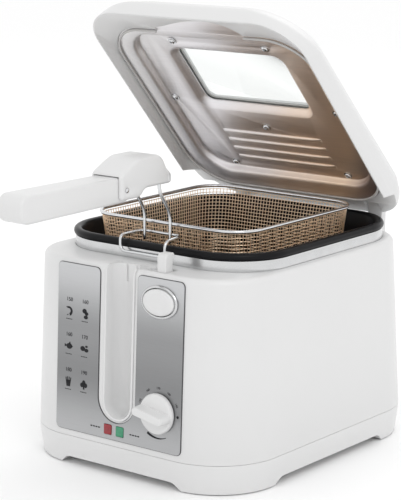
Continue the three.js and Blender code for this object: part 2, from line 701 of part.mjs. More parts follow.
function makeBasket() {
  const outer = loft(BASKET, [
    [-22, BASKET_LOW_Z], [-13, BASKET_LOW_Z + 4], [-9, BASKET_LOW_Z + 14], [0, BASKET_RIM_Z - 2],
  ]);
  const inner = loft(BASKET, [
    [-22.4, BASKET_LOW_Z + 1.2], [-14, BASKET_LOW_Z + 5.2], [-10.2, BASKET_LOW_Z + 14.6],
    [-1.2, BASKET_RIM_Z - 1],
  ]);
  place("basket_mesh", cut(outer, inner), steel);
  place("basket_rim", roundHoop(grown(BASKET, 1), 1.5, BASKET_RIM_Z), steel);

  const front = BASKET.y - BASKET.d / 2;
  const hook = wire(
    [
      [18, front - 2, 194.4], [-21, front - 2, 194.4], [-24, -97, 193.8], [-23.5, -106, 193.8],
      [-23.5, -106, 181], [23.5, -106, 181], [23.5, -106, 193.8], [22, -88, 194.6],
    ],
    1.3,
    5,
    44,
    6,
  );
  place("drain_hook", hook, steel);
  [-1, 1].forEach((side, i) => {
    const x = side * ARM_X;
    const arm = wire(
      [[x, -86.8, 188.5], [x, -86.8, 213], [x, ARM_TOP_Y, 234], [x, ARM_TOP_Y, 246]],
      ARM_R,
      6,
      14,
      6,
    );
    place(`handle_arm_${i + 1}`, arm, steel);
  });
}

const BRACKET_PROFILE = [
  [-150, 232.5], [-150, 252], [-147, 254.5], [-133, 261.5], [-126, 264], [-103, 264],
  [-98, 260.5], [-93, 251.5], [-87, 247], [-87, 239], [-120, 239], [-126, 232.5],
];

function makeHandle() {
  const half = BRACKET_HALF;
  const soft = 2;
  const bracket = new THREE.ExtrudeGeometry(insetShape(BRACKET_PROFILE, soft), {
    depth: 2 * (half - soft),
    bevelEnabled: true,
    bevelThickness: soft,
    bevelSize: soft,
    bevelSegments: 2,
  }).applyMatrix4(SIDEWAYS);
  const body = solid(bracket.translate(soft - half, 0, 0));
  const room = GRIP.width / 2 + 0.4;
  const slot = box(-room, room, -160, PIVOT.y + 10.6, 220, PIVOT.z + 11);
  const pinHole = rodX(-20, 20, PIVOT.y, PIVOT.z, PIVOT.pin + GAP);
  const armHoles = [-ARM_X, ARM_X].map((x) => disc(x, ARM_TOP_Y, ARM_R + GAP, 230, 248, 12));
  place("handle_bracket", cut(body, slot, pinHole, ...armHoles), whitePlastic);
  place("handle_pin", rodX(-half, half, PIVOT.y, PIVOT.z, PIVOT.pin), steel);

  const tip = -GRIP.length;
  const tall = GRIP.height / 2;
  const side = new THREE.Shape();
  side.absarc(0, 0, tall - soft, -Math.PI / 2, Math.PI / 2);
  side.absarc(tip + 8, tall - 8, 8 - soft, Math.PI / 2, Math.PI);
  side.absarc(tip + 8, 8 - tall, 8 - soft, Math.PI, 1.5 * Math.PI);
  const bar = new THREE.ExtrudeGeometry(side, {
    depth: GRIP.width - 2 * soft,
    bevelEnabled: true,
    bevelThickness: soft,
    bevelSize: soft,
    bevelSegments: 2,
    curveSegments: 8,
  }).applyMatrix4(SIDEWAYS);
  const made = solid(bar.translate(soft - GRIP.width / 2, 0, 0));
  place("handle_grip", cut(made, rodX(-20, 20, 0, 0, PIVOT.pin + GAP)), whitePlastic, grip);
}

// The polygon moved inwards, so that a bevel of the same size brings it back to its outline.
function insetShape(points, inset) {
  const count = points.length;
  const moved = points.map(([u, v], i) => {
    const before = new THREE.Vector2(...points[(i + count - 1) % count]);
    const after = new THREE.Vector2(...points[(i + 1) % count]);
    const here = new THREE.Vector2(u, v);
    const into = here.clone().sub(before).normalize();
    const out = after.clone().sub(here).normalize();
    const normal = new THREE.Vector2(into.y + out.y, -into.x - out.x).normalize();
    const lean = Math.max(normal.dot(new THREE.Vector2(into.y, -into.x)), 0.5);
    return here.addScaledVector(normal, inset / lean).toArray();
  });
  return polygon(moved);
}

// ---- assembly ----

makeBase();
makeHousing();
BASE_SCREWS.forEach(([x, y], i) => {
  makeScrew(`base_screw_${i + 1}`, x, y, FOOT_ARCH + FEET_LOW_Z - GAP, 12, fryer);
});
makeChannel();
makePanel();
makePot();
makeHeating();
makeInlet();
makeControls();
makeLid();
makeBasket();
makeHandle();

// Centre the whole object over its own footprint.
const footprint = new THREE.Box3().setFromObject(fryer, true).getCenter(new THREE.Vector3());
fryer.position.y = -footprint.y;

export default fryer;
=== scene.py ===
"""Looks of a countertop deep fryer: white shell, brushed panel, open window lid, wire basket.

Shapes are drawn in millimetres in one of four local frames (housing, front face, lid, grip) and
carried into the row frame in metres by that frame's matrix.
"""

import json
import math

import bmesh
import bpy
from mathutils import Matrix, Vector


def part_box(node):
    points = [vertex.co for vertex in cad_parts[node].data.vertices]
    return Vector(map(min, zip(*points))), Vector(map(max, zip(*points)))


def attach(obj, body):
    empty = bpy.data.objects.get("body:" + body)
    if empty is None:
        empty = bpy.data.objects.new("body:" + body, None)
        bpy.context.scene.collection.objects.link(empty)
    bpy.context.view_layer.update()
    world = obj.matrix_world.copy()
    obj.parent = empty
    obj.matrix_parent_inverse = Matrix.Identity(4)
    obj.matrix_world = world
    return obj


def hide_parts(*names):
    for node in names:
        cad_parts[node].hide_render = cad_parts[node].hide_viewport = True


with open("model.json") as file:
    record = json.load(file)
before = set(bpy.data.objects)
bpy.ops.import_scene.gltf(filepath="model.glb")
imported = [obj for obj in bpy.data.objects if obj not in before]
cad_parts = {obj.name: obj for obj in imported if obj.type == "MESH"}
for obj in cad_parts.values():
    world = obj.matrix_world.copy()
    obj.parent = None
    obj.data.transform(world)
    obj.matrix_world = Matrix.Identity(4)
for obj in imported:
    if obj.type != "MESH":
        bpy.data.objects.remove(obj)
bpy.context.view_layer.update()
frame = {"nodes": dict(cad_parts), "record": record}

# ---- frames ----

MM = 0.001
JOINTS = {j["name"]: j for j in frame["record"]["behaviour"]["joints"]}
base_low, base_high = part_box("base_tray")
HOUSING_Y = (base_low.y + base_high.y) / 2
LID_OPEN = math.radians(48)
FRONT_TAPER = 0.048

HOUSING = Matrix.Translation((0, HOUSING_Y, 0)) @ Matrix.Scale(MM, 4)
LID_FRAME = (
    Matrix.Translation(JOINTS["lid_hinge"]["pos_m"])
    @ Matrix.Rotation(-LID_OPEN, 4, "X")
    @ Matrix.Scale(MM, 4)
)
GRIP_FRAME = Matrix.Translation(JOINTS["handle_fold"]["pos_m"]) @ Matrix.Scale(MM, 4)


def front_y(z):
    """The front face's y at height z, in the housing's millimetres."""
    return -BODY["d"] / 2 + FRONT_TAPER * (z - PARTING_Z)


def face_frame(x, z):
    """A frame on the sloping front face: x to the right, y up the face, z out of it."""
    tilt = math.pi / 2 - math.atan(FRONT_TAPER)
    return HOUSING @ Matrix.Translation((x, front_y(z), z)) @ Matrix.Rotation(tilt, 4, "X")


# ---- driving dimensions, in millimetres, as in the CAD ----

BODY = {"w": 235, "d": 280, "r": 58, "y": 0}
PARTING_Z = 26
SHELF_Z = 175
RING = {"w": 210, "d": 223.5, "r": 50, "y": 10.75}
RIM_Z = 190
LID = {"w": 220, "d": 257.8, "r": 39.6, "back_r": 42, "y": -120.9}
LINER = {"w": 209, "d": 205.3, "r": 40, "y": -119}
WINDOW = {"w": 110, "d": 66, "r": 7, "y": -148.6}
BASKET = {"w": 160, "d": 166, "r": 25, "y": 4}
SIDE_TAPER, BACK_TAPER, CORNER_TAPER = 0.044, 0.063, 0.055
PANEL = {"left": -66.2, "right": 66.2, "low": 31.5, "high": 171.3, "r": 4}
PANEL_GAP = {"left": -21, "right": 19, "low": 45.6}
KNOB_AT = (43.5, 62.5)
BUTTON_AT = (42, 152.5)
BUTTON_RX, BUTTON_RY = 15.9, 10.8
LAMP_AT = {"power_lamp": -9.3, "ready_lamp": 3.4}
LAMP_Z = 39.4
SKIRT_LOW = -25
LID_LEVELS = [  # offset, height, extra front corner radius, and from where and how much it drops
    (-0.4, SKIRT_LOW, 0, 0, 0), (0, SKIRT_LOW + 1.5, 0.8, 77, 0.002), (0, -4, 11, 77, 0.0394),
    (-5.3, 3, 22.4, 77, 0.0525), (-7.6, 7.5, 22.4, 77, 0.0609), (-18, 9.6, 22.4, 200, 0.09),
    (-46, 10, 22.4, 0, 0),
]
STEAM_ARCH = [  # x, and distance from the hinge axis
    (-46, 220), (-45, 225), (-25, 233), (-10, 239.5), (5, 244.5), (15, 246), (24, 246.3),
    (32, 245), (38, 241.5), (43, 234), (45, 226), (45.5, 220),
]
ARCH_TOP = -13.7
ARCH_MIDDLE_X = 10
HINGE_X, HINGE_Y, HINGE_Z = 73, 127, 200
FOLD_Y, FOLD_Z = -143, 240.5
PIN_HOLE_R = 2.3
ARM_X, ARM_TOP_Y = 13.5, -101
CHANNEL = {"half": 15.5, "low": 47.6, "wall": 1.75, "floor_r": 11}
CORNER_STEPS = 16

# ---- camera, floor and light ----

VIEW_AZIMUTH, VIEW_ELEVATION = math.radians(38.37), math.radians(12.08)
VIEW_DISTANCE = 1.662
LENS = 140.05
AIM_RIGHT, AIM_HEIGHT = -0.01877, 0.16663


def make_camera():
    right = Vector((math.cos(VIEW_AZIMUTH), math.sin(VIEW_AZIMUTH), 0))
    flat = math.cos(VIEW_ELEVATION)
    back = Vector((
        math.sin(VIEW_AZIMUTH) * flat,
        -math.cos(VIEW_AZIMUTH) * flat,
        math.sin(VIEW_ELEVATION),
    ))
    aim = right * AIM_RIGHT + Vector((0, HOUSING_Y, AIM_HEIGHT))
    data = bpy.data.cameras.new("camera")
    data.lens = LENS
    camera = bpy.data.objects.new("camera", data)
    camera.location = aim + back * VIEW_DISTANCE
    camera.rotation_mode = "QUATERNION"
    camera.rotation_quaternion = (-back).to_track_quat("-Z", "Y")
    bpy.context.collection.objects.link(camera)
    bpy.context.scene.camera = camera


def area_light(name, place, aim, size, power):
    data = bpy.data.lights.new(name, "AREA")
    data.shape = "DISK"
    data.size = size
    data.energy = power
    light = bpy.data.objects.new(name, data)
    light.location = place
    light.rotation_mode = "QUATERNION"
    direction = Vector(aim) - Vector(place)
    light.rotation_quaternion = direction.to_track_quat("-Z", "Y")
    bpy.context.collection.objects.link(light)


def make_studio():
    world = bpy.data.worlds.new("studio")
    world.use_nodes = True
    background = world.node_tree.nodes["Background"]
    background.inputs["Color"].default_value = (1, 1, 1, 1)
    background.inputs["Strength"].default_value = 1.06
    bpy.context.scene.world = world
    bpy.context.scene.view_settings.view_transform = "Standard"
    middle = (0, HOUSING_Y, 0.15)
    area_light("key", (1.5, -1.1, 1.9), middle, 1.2, 8)
    area_light("back", (-0.4, 1.9, 1.6), middle, 1.6, 5)

    reach = 6
    corners = [(-reach, -reach, 0), (reach, -reach, 0), (reach, reach, 0), (-reach, reach, 0)]
    floor = mesh_object("floor", corners, [(0, 1, 2, 3)], Matrix.Identity(4))
    floor.data.materials.append(floor_material())


# ---- mesh tools ----


def mesh_object(name, points, faces, matrix):
    mesh = bpy.data.meshes.new(name)
    mesh.from_pydata([matrix @ Vector(p) for p in points], [], faces)
    mesh.validate()
    thing = bpy.data.objects.new(name, mesh)
    bpy.context.collection.objects.link(thing)
    tidy_normals(thing)
    return thing


def tidy_normals(thing):
    bm = bmesh.new()
    bm.from_mesh(thing.data)
    bmesh.ops.remove_doubles(bm, verts=bm.verts, dist=1e-7)
    bmesh.ops.recalc_face_normals(bm, faces=bm.faces)
    bm.to_mesh(thing.data)
    bm.free()


def grown(outline, offset):
    bigger = {key: max(outline[key] + offset, 0.5) for key in ("r", "back_r") if key in outline}
    return {"w": outline["w"] + 2 * offset, "d": outline["d"] + 2 * offset, "y": outline["y"], **bigger}


def loop(outline, z, steps=CORNER_STEPS):
    """Points of a rounded rectangle at height z, counter-clockwise from above."""
    w, d, y = outline["w"], outline["d"], outline["y"]
    points = []
    for corner, (sx, sy) in enumerate([(1, -1), (1, 1), (-1, 1), (-1, -1)]):
        r = outline.get("back_r", outline["r"]) if sy > 0 else outline["r"]
        for i in range(steps + 1):
            angle = (corner - 1 + i / steps) * math.pi / 2
            px = sx * (w / 2 - r) + r * math.cos(angle)
            py = y + sy * (d / 2 - r) + r * math.sin(angle)
            points.append((px, py, z))
    return points


def skin(loops, ring=False):
    """Faces through loops of points, capped at both ends or closed on itself."""
    count = len(loops[0])
    points = [p for one in loops for p in one]
    faces = []
    for j in range(len(loops) if ring else len(loops) - 1):
        low, high = j * count, ((j + 1) % len(loops)) * count
        for i in range(count):
            k = (i + 1) % count
            faces.append((low + i, low + k, high + k, high + i))
    if not ring:
        faces.append(tuple(reversed(range(count))))
        faces.append(tuple(range(len(points) - count, len(points))))
    return points, faces


def loft(outline, profile, ring=False, steps=CORNER_STEPS):
    """Profile points are (offset from the outline, height)."""
    return skin([loop(grown(outline, offset), z, steps) for offset, z in profile], ring)


def prism(shape, low, high):
    """A flat outline of (x, y) points between two heights."""
    return skin([[(x, y, z) for x, y in shape] for z in (low, high)])


def turned(points_faces, matrix):
    points, faces = points_faces
    return [matrix @ Vector(p) for p in points], faces


FRONT_VIEW = Matrix.Rotation(math.pi / 2, 4, "X")  # a prism's outline in x and z, its height along -y
SIDE_VIEW = Matrix(((0, 0, 1, 0), (1, 0, 0, 0), (0, 1, 0, 0), (0, 0, 0, 1)))  # outline in y and z


def box_mesh(left, right, front, back, low, high):
    return prism([(left, front), (right, front), (right, back), (left, back)], low, high)


def ellipse(x, y, rx, ry, sides=64):
    turn = 2 * math.pi / sides
    return [(x + rx * math.cos(i * turn), y + ry * math.sin(i * turn)) for i in range(sides)]


def rounded_box(left, right, low, high, r, steps=6):
    outline = {"w": right - left, "d": high - low, "r": r, "y": 0}
    middle_x, middle_y = (left + right) / 2, (low + high) / 2
    return [(x + middle_x, y + middle_y) for x, y, _ in loop(outline, 0, steps)]


def curve_between(start, corner, end, t):
    """The point at t on a curve that leaves start and reaches end, both aimed at the corner."""
    return start * (1 - t) ** 2 + corner * 2 * t * (1 - t) + end * t ** 2


def rounded_corner(before, here, after, r, most, steps):
    """Points that round one corner, taking at most a given share of each side."""
    back, ahead = before - here, after - here
    reach = min(r, back.length * most, ahead.length * most)
    start, end = here + back.normalized() * reach, here + ahead.normalized() * reach
    return [curve_between(start, here, end, k / steps) for k in range(steps + 1)]


def rounded_outline(corners, r, steps=5):
    """A polygon with each corner replaced by a short curve of about radius r."""
    corners = [Vector(c) for c in corners]
    points = []
    for i, here in enumerate(corners):
        after = corners[(i + 1) % len(corners)]
        points += rounded_corner(corners[i - 1], here, after, r, 0.45, steps)
    return [(p.x, p.y) for p in points]


def final_mesh(thing):
    """The mesh of an object or curve with its modifiers applied."""
    graph = bpy.context.evaluated_depsgraph_get()
    return bpy.data.meshes.new_from_object(thing.evaluated_get(graph))


def bake(thing):
    """Applies the modifiers."""
    mesh = final_mesh(thing)
    thing.modifiers.clear()
    old = thing.data
    thing.data = mesh
    mesh.name = thing.name
    if old.users == 0 and isinstance(old, bpy.types.Mesh):
        bpy.data.meshes.remove(old)


def combine(thing, shapes, matrix, operation="DIFFERENCE"):
    """Cuts shapes out of a mesh object, joins them to it, or keeps only what lies inside them."""
    for points, faces in shapes:
        tool = mesh_object("tool", points, faces, matrix)
        modifier = thing.modifiers.new("combine", "BOOLEAN")
        modifier.operation = operation
        modifier.solver = "EXACT"
        modifier.object = tool
        bake(thing)
        bpy.data.objects.remove(tool)


def soften(thing, width, segments=2, angle=38):
    """Rounds the sharp edges and sets smooth shading."""
    if width:
        modifier = thing.modifiers.new("edges", "BEVEL")
        modifier.width = width * MM
        modifier.segments = segments
        modifier.limit_method = "ANGLE"
        modifier.angle_limit = math.radians(angle)
        modifier.use_clamp_overlap = True
        bake(thing)
    thing.data.shade_smooth()
    thing.data.set_sharp_from_angle(angle=math.radians(angle))


def wires(name, paths, radius, matrix, sides=3, closed=False):
    """Round wires along lists of points, as one mesh. sides is the bevel's resolution."""
    curve = bpy.data.curves.new(name, "CURVE")
    curve.dimensions = "3D"
    curve.bevel_depth = radius * MM
    curve.bevel_resolution = sides
    curve.use_fill_caps = True
    for path in paths:
        spline = curve.splines.new("POLY")
        spline.points.add(len(path) - 1)
        for point, place in zip(spline.points, path):
            point.co = (*(matrix @ Vector(place)), 1)
        spline.use_cyclic_u = closed
    thing = from_curve(name, curve)
    tidy_normals(thing)
    thing.data.shade_smooth()
    thing.data.set_sharp_from_angle(angle=math.radians(50))
    return thing


def from_curve(name, curve):
    """A mesh object made from a curve or from text."""
    made = bpy.data.objects.new(name, curve)
    bpy.context.collection.objects.link(made)
    mesh = final_mesh(made)
    bpy.data.objects.remove(made)
    thing = bpy.data.objects.new(name, mesh)
    bpy.context.collection.objects.link(thing)
    return thing


def bent(corners, bend, steps=6):
    """A path through corner points, each corner a smooth bend."""
    corners = [Vector(c) for c in corners]
    path = [corners[0]]
    for before, here, after in zip(corners, corners[1:], corners[2:]):
        path += rounded_corner(before, here, after, bend, 0.48, steps)
    return [*path, corners[-1]]


def finish_piece(thing, body, slot, replaces=(), material=None):
    thing.data.materials.clear()
    thing.data.materials.append(material or MATERIALS[slot])
    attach(thing, body)
    if replaces:
        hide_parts(*replaces)


# ---- materials ----


def new_material(name):
    material = bpy.data.materials.new(name)
    material.use_nodes = True
    nodes, links = material.node_tree.nodes, material.node_tree.links
    return material, nodes, links, nodes["Principled BSDF"]


def object_noise(nodes, links, scale, stretch=(1, 1, 1), detail=3):
    """Noise fixed to the object, stretched along an axis where the finish has a grain."""
    where = nodes.new("ShaderNodeTexCoord")
    mapping = nodes.new("ShaderNodeMapping")
    mapping.inputs["Scale"].default_value = stretch
    noise = nodes.new("ShaderNodeTexNoise")
    noise.inputs["Scale"].default_value = scale
    noise.inputs["Detail"].default_value = detail
    links.new(where.outputs["Object"], mapping.inputs["Vector"])
    links.new(mapping.outputs["Vector"], noise.inputs["Vector"])
    return noise


def uneven_roughness(nodes, links, shader, noise, low, high):
    """Lets a noise vary the roughness between two values."""
    ramp = nodes.new("ShaderNodeMapRange")
    ramp.inputs["To Min"].default_value = low
    ramp.inputs["To Max"].default_value = high
    links.new(noise.outputs["Fac"], ramp.inputs["Value"])
    links.new(ramp.outputs["Result"], shader.inputs["Roughness"])


def add_bump(nodes, links, shader, noise, strength, distance):
    bump = nodes.new("ShaderNodeBump")
    bump.inputs["Strength"].default_value = strength
    bump.inputs["Distance"].default_value = distance
    links.new(noise.outputs["Fac"], bump.inputs["Height"])
    links.new(bump.outputs["Normal"], shader.inputs["Normal"])


def tint(nodes, links, shader, noise, first, second):
    """Lets a noise vary the colour between two tones."""
    mix = nodes.new("ShaderNodeMix")
    mix.data_type = "RGBA"
    mix.inputs["A"].default_value = (*first, 1)
    mix.inputs["B"].default_value = (*second, 1)
    links.new(noise.outputs["Fac"], mix.inputs["Factor"])
    links.new(mix.outputs["Result"], shader.inputs["Base Color"])


def darker(color, share):
    return tuple(c * share for c in color)


def moulded(name, color, roughness, grain=900, depth=0.00002, coat=0.0, gloss=0.5):
    """Moulded plastic or rubber with a fine skin and slightly uneven gloss."""
    material, nodes, links, shader = new_material(name)
    cloud = object_noise(nodes, links, 14, detail=4)
    tint(nodes, links, shader, cloud, color, darker(color, 0.965))
    uneven_roughness(nodes, links, shader, cloud, roughness * 0.85, roughness * 1.2)
    fine = object_noise(nodes, links, grain, detail=2)
    add_bump(nodes, links, shader, fine, 0.25, depth)
    shader.inputs["Specular IOR Level"].default_value = gloss
    shader.inputs["Coat Weight"].default_value = coat
    shader.inputs["Coat Roughness"].default_value = 0.12
    return material


def brushed(name, color, roughness, stretch, painted_reflection, scale=60):
    """Metal with a grain along one axis, stretch smallest along it, and a painted reflection: the tones
    of its last argument multiplied into the colour along one direction.
    """
    material, nodes, links, shader = new_material(name)
    shader.inputs["Metallic"].default_value = 1.0
    grain = object_noise(nodes, links, scale, stretch, detail=6)
    tint(nodes, links, shader, grain, darker(color, 0.86), color)
    # painted reflection: tones along one direction multiplied into the grain's colour
    paint_reflection_along(nodes, links, shader, *painted_reflection)
    uneven_roughness(nodes, links, shader, grain, roughness * 0.8, roughness * 1.25)
    add_bump(nodes, links, shader, grain, 0.18, 0.00003)
    return material


def paint_reflection_along(nodes, links, shader, direction, low, high, stops):
    """Paints a reflection: multiplies the colour by tones that change along one direction of the object.
    """
    where = nodes.new("ShaderNodeTexCoord")
    measure = nodes.new("ShaderNodeVectorMath")
    measure.operation = "DOT_PRODUCT"
    measure.inputs[1].default_value = direction
    links.new(where.outputs["Object"], measure.inputs[0])
    along = nodes.new("ShaderNodeMapRange")
    along.inputs["From Min"].default_value = low
    along.inputs["From Max"].default_value = high
    links.new(measure.outputs["Value"], along.inputs["Value"])
    ramp = nodes.new("ShaderNodeValToRGB")
    ramp.color_ramp.interpolation = "EASE"
    for element, (place, color) in zip(ramp.color_ramp.elements, (stops[0], stops[-1])):
        element.position, element.color = place, (*color, 1)
    for place, color in stops[1:-1]:
        ramp.color_ramp.elements.new(place).color = (*color, 1)
    links.new(along.outputs["Result"], ramp.inputs["Fac"])
    mix = nodes.new("ShaderNodeMix")
    mix.data_type = "RGBA"
    mix.blend_type = "MULTIPLY"
    mix.inputs["Factor"].default_value = 1.0
    links.new(shader.inputs["Base Color"].links[0].from_socket, mix.inputs["A"])
    links.new(ramp.outputs["Color"], mix.inputs["B"])
    links.new(mix.outputs["Result"], shader.inputs["Base Color"])


def polished(name, color, roughness):
    """Bright metal with a faint unevenness."""
    material, nodes, links, shader = new_material(name)
    shader.inputs["Metallic"].default_value = 1.0
    cloud = object_noise(nodes, links, 90, detail=5)
    tint(nodes, links, shader, cloud, color, darker(color, 0.9))
    uneven_roughness(nodes, links, shader, cloud, roughness * 0.6, roughness * 1.6)
    add_bump(nodes, links, shader, cloud, 0.05, 0.00003)
    return material


def lens(name, color, glow):
    """A coloured lamp cover, ribbed inside and faintly lit."""
    material, nodes, links, shader = new_material(name)
    ribs = object_noise(nodes, links, 120, (1, 1, 6), detail=1)
    tint(nodes, links, shader, ribs, color, darker(color, 0.55))
    shader.inputs["Roughness"].default_value = 0.12
    shader.inputs["Coat Weight"].default_value = 0.6
    shader.inputs["Emission Color"].default_value = (*color, 1)
    shader.inputs["Emission Strength"].default_value = glow
    return material


def clear_glass():
    material, nodes, links, shader = new_material("clear_glass")
    shader.inputs["Base Color"].default_value = (0.97, 0.99, 0.98, 1)
    shader.inputs["Transmission Weight"].default_value = 1.0
    shader.inputs["IOR"].default_value = 1.15
    smear = object_noise(nodes, links, 25, detail=3)
    uneven_roughness(nodes, links, shader, smear, 0.0, 0.04)
    return material


def floor_material():
    material, *_, shader = new_material("floor")
    shader.inputs["Base Color"].default_value = (0.93, 0.93, 0.93, 1)
    shader.inputs["Roughness"].default_value = 0.9
    return material


WHITE = (0.69, 0.69, 0.69)
# Painted reflection on the brushed panel: greys multiplied into its colour by height, light at the
# bottom edge, darkest low in the middle, brightest at the top.
PANEL_PAINTED_REFLECTION_TONES = [(0, (0.78,) * 3), (0.36, (0.44,) * 3), (0.62, (0.52,) * 3), (1, (0.98,) * 3)]
# Painted reflection in the lid's liner: white at the top left, warm brown across the middle standing in
# for reflected food, dark at the bottom right by the hinge.
LINER_PAINTED_REFLECTION_TONES = [(0, (1, 1, 1)), (0.31, (0.98, 0.97, 0.99)), (0.48, (0.92, 0.86, 0.83)),
          (0.64, (1, 0.84, 0.71)), (0.8, (1, 0.80, 0.62)), (0.92, (0.52, 0.43, 0.4)),
          (1, (0.22, 0.2, 0.21))]
PANEL_PAINTED_REFLECTION = ((0, 0, 1), 0.031, 0.171, PANEL_PAINTED_REFLECTION_TONES)  # direction, where the tones start and end, tones
LINER_PAINTED_REFLECTION = ((1, 0, -0.6), -0.31, -0.02, LINER_PAINTED_REFLECTION_TONES)
MATERIALS = {
    "white_plastic": moulded("white_plastic", WHITE, 0.34, coat=0.12),
    "silver_panel": brushed("silver_panel", (0.62, 0.625, 0.635), 0.36, (1, 60, 60), PANEL_PAINTED_REFLECTION),
    "bright_steel": polished("bright_steel", (0.70, 0.71, 0.72), 0.16),
    "black_enamel": moulded("black_enamel", (0.004, 0.004, 0.005), 0.32, grain=260, gloss=0.16),
    "liner_metal": brushed("liner_metal", (0.93, 0.92, 0.92), 0.46, (1, 22, 22), LINER_PAINTED_REFLECTION, 30),
    "rubber": moulded("rubber", (0.02, 0.02, 0.022), 0.75),
    "black_plastic": moulded("black_plastic", (0.02, 0.02, 0.021), 0.45),
    "silicone": moulded("silicone", (0.50, 0.49, 0.48), 0.5),
    "window_glass": clear_glass(),
    "ceramic": moulded("ceramic", (0.72, 0.69, 0.60), 0.7, grain=400),
    "red_lens": lens("red_lens", (0.3, 0.0, 0.008), 0.05),
    "green_lens": lens("green_lens", (0.03, 0.28, 0.14), 0.06),
    "felt": moulded("felt", (0.05, 0.052, 0.055), 0.95, grain=1500, depth=0.0002),
}
RING_STEEL = polished("ring_steel", (0.66, 0.665, 0.67), 0.2)
MESH_WIRE = polished("mesh_wire", (0.95, 0.74, 0.54), 0.34)
INK = moulded("panel_ink", (0.015, 0.015, 0.017), 0.5, gloss=0.2)
OUTLINE = moulded("panel_edge", (0.07, 0.07, 0.075), 0.5)

# ---- housing and base ----


def body_outline(z, offset=0):
    rise = z - PARTING_Z
    front, back = FRONT_TAPER * rise, BACK_TAPER * rise
    outline = {
        "w": BODY["w"] - 2 * SIDE_TAPER * rise,
        "d": BODY["d"] - front - back,
        "r": BODY["r"] - CORNER_TAPER * rise,
        "y": (front - back) / 2,
    }
    return grown(outline, offset)


def body_loft(profile):
    """Profile points are (offset from the housing's tapering outline, height)."""
    return skin([loop(body_outline(z, offset), z) for offset, z in profile])


def quarter_round(z, r):
    """Profile points of a rounded edge that starts at z and ends r higher and r further in."""
    return [(r * math.cos(a) - r, z + r * math.sin(a)) for a in arc_angles(0, 90, 6)]


def channel_outline(half):
    """The handle's channel as seen from the front: a round bottom and an open top."""
    centre, top = CHANNEL["low"] + CHANNEL["half"], SHELF_Z + 20
    arc = [(half * math.cos(a), centre + half * math.sin(a)) for a in arc_angles(180, 360, 24)]
    return [*arc, (half, top), (-half, top)]


def front_prism(shape, near, far):
    """An outline in x and z, from y = near to y = far."""
    return turned(prism(shape, -far, -near), FRONT_VIEW)


def face_cutters():
    """Openings for the dial's shaft, the button and the lamps, each in its own face frame."""
    depth, height = -9, 8
    shaft = ellipse(0, 0, 4.4, 4.4, 32)
    button = ellipse(0, 0, BUTTON_RX + 0.5, BUTTON_RY + 0.5)
    lamp = rounded_box(-4.2, 4.2, -4.4, 4.4, 1)
    outlines = [(shaft, KNOB_AT), (button, BUTTON_AT)]
    outlines += [(lamp, (x, LAMP_Z)) for x in LAMP_AT.values()]
    return [(prism(outline, depth, height), face_frame(*at)) for outline, at in outlines]


def make_housing():
    top_r = 5
    edge = quarter_round(SHELF_Z - top_r, top_r)
    points, faces = body_loft([(0, PARTING_Z), (0, 100), *edge])
    shell = mesh_object("fryer_housing", points, faces, HOUSING)
    hollow = body_loft([(-2.5, PARTING_Z - 1), (-2.5, 166), (-6, SHELF_Z - 2.5)])
    pot_hole = loft(RING, [(0.3, SHELF_Z - 10), (0.3, SHELF_Z + 5)])
    channel = front_prism(channel_outline(CHANNEL["half"] + 0.3), -160, -115.7)
    catch_slot = box_mesh(32.9, 43.1, -128.6, -113, SHELF_Z - 6, SHELF_Z + 6)
    ramp = rounded_outline([(17.9, -122), (33.9, -127.5), (33.9, -113)], 1.5)
    pocket = prism(ramp, SHELF_Z - 1.6, SHELF_Z + 5)
    inlet = box_mesh(46.7, 77.3, 120, 150, 36.7, 59.3)
    combine(shell, [hollow, pot_hole, channel, catch_slot, pocket, inlet], HOUSING)
    for shape, matrix in face_cutters():
        combine(shell, [shape], matrix)
    combine(shell, [hinge_post(side) for side in (-1, 1)], HOUSING, "UNION")
    holes = [cross_pin(HINGE_Y, HINGE_Z, PIN_HOLE_R, side * HINGE_X, 9) for side in (-1, 1)]
    combine(shell, holes, HOUSING)
    soften(shell, 0.5)
    finish_piece(shell, "housing", "white_plastic", ["housing_shell"])


def cross_pin(y, z, r, middle, half):
    """A round bar from side to side."""
    return turned(prism(ellipse(y, z, r, r, 24), middle - half, middle + half), SIDE_VIEW)


def hinge_post(side):
    r = 5.4
    knuckle = [(HINGE_Y + r * math.cos(a), HINGE_Z + r * math.sin(a)) for a in arc_angles(-20, 220, 20)]
    foot, neck = SHELF_Z - 6, HINGE_Z - 6
    outline = [(124.2, foot), (130.4, foot), (131, neck), *knuckle, (124.2, neck)]
    return turned(prism(outline, side * HINGE_X - 7, side * HINGE_X + 7), SIDE_VIEW)


def arc_angles(start, end, steps):
    return [math.radians(start + (end - start) * i / steps) for i in range(steps + 1)]


def make_base():
    edge = [(-3.3, 1), (-2.2, 6), (-1.2, 13), (-0.3, 20), (0, 23.5), (0, PARTING_Z - 0.3)]
    points, faces = loft(BODY, edge)
    tray = mesh_object("fryer_base", points, faces, HOUSING)
    hollow = loft(BODY, [(-4, 9.5), (-2.5, 20), (-2.5, PARTING_Z + 1)])
    front_arch = front_prism(arch_outline(66), -150, 150)
    side_arch = turned(prism(arch_outline(80), -130, 130), SIDE_VIEW)
    combine(tray, [hollow, front_arch, side_arch], HOUSING)
    soften(tray, 0.9)
    finish_piece(tray, "housing", "white_plastic", ["base_tray"])


def arch_outline(half):
    """The low gap between two feet."""
    height, slope = 7, 9
    corners = [(half, -2), (half - 1, 0), (half - slope, height), (slope - half, height)]
    return rounded_outline([*corners, (1 - half, 0), (-half, -2)][::-1], 4)


